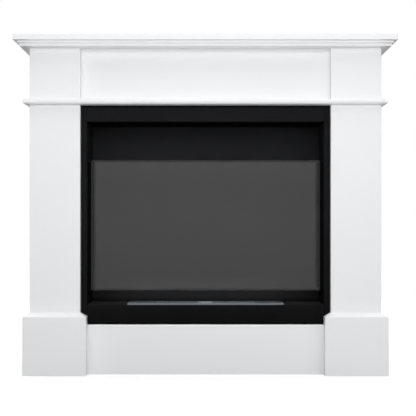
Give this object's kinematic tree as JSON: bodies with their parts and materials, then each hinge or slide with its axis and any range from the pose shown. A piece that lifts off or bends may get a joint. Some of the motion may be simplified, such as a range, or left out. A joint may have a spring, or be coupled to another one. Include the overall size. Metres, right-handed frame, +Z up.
{
  "type": "bioethanol fireplace",
  "caption": "White mantel surround with stepped shelf, pilasters and plinths around a black sheet-steel firebox with a glass pane and a shuttered liquid-fuel burner.",
  "frame": {"origin": "centre of the bounding box on the floor plane", "axes": "+X to the viewer's right along the shelf, +Y from the front to the wall, +Z up; the fire opening faces -Y"},
  "size_m": [1.057, 0.3, 0.942],
  "materials": {
    "white_board": "satin white lacquer on board",
    "raw_board": "raw board",
    "dowel_beech": "bare beech",
    "black_steel": "matt black heat-proof paint",
    "zinc_steel": "zinc plated",
    "stainless_steel": "brushed",
    "polished_steel": "polished",
    "ceramic_wool": "matt fibre",
    "smoked_glass": "polished, lightly smoked",
    "heat_seal": "matt black"
  },
  "bodies": {
    "surround": {"mantel_shelf": "white_board", "cornice_board": "white_board", "belt_moulding": "white_board", "frieze_panel": "white_board", "base_panel": "white_board", "frieze_block_left": "white_board", "frieze_block_right": "white_board", "frieze_side_left": "white_board", "frieze_side_right": "white_board", "frieze_rib_left": "white_board", "frieze_rib_right": "white_board", "pilaster_front_left": "white_board", "pilaster_front_right": "white_board", "pilaster_side_left": "white_board", "pilaster_side_right": "white_board", "pilaster_return_left": "white_board", "pilaster_return_right": "white_board", "plinth_front_left": "white_board", "plinth_front_right": "white_board", "plinth_side_left": "white_board", "plinth_side_right": "white_board", "plinth_return_left": "white_board", "plinth_return_right": "white_board", "frieze_back_rail": "raw_board", "hearth_board": "raw_board", "support_cleats": "raw_board", "lower_back_rail": "raw_board", "glue_blocks": "raw_board", "dowels": "dowel_beech", "firebox_fascia": "black_steel", "firebox_hearth": "black_steel", "firebox_back": "black_steel", "firebox_floor": "black_steel", "firebox_side_left": "black_steel", "firebox_side_right": "black_steel", "glass_holder_left": "black_steel", "glass_holder_right": "black_steel", "rear_heat_shield": "zinc_steel", "shield_spacers": "zinc_steel", "shield_screws": "zinc_steel", "shield_nuts": "zinc_steel", "firebox_rivets": "zinc_steel", "firebox_brackets": "zinc_steel", "bracket_screws": "zinc_steel", "glass_holder_screws": "zinc_steel", "burner_tank": "stainless_steel", "burner_deck": "stainless_steel", "front_guide_rail": "stainless_steel", "rear_guide_rail": "stainless_steel", "burner_wool": "ceramic_wool", "glass_pane": "smoked_glass", "glass_tape_left": "heat_seal", "glass_tape_right": "heat_seal", "firebox_pads": "heat_seal"},
    "left_shutter": {"left_shutter": "stainless_steel", "left_pull_plate": "polished_steel"},
    "right_shutter": {"right_shutter": "stainless_steel", "right_pull_plate": "polished_steel"}
  },
  "joints": [
    {"name": "left_shutter_slide", "type": "slide", "parent": "surround", "child": "left_shutter", "axis": [-1, 0, 0], "range_m": [0, 0.073]},
    {"name": "right_shutter_slide", "type": "slide", "parent": "surround", "child": "right_shutter", "axis": [1, 0, 0], "range_m": [0, 0.073]}
  ]
}
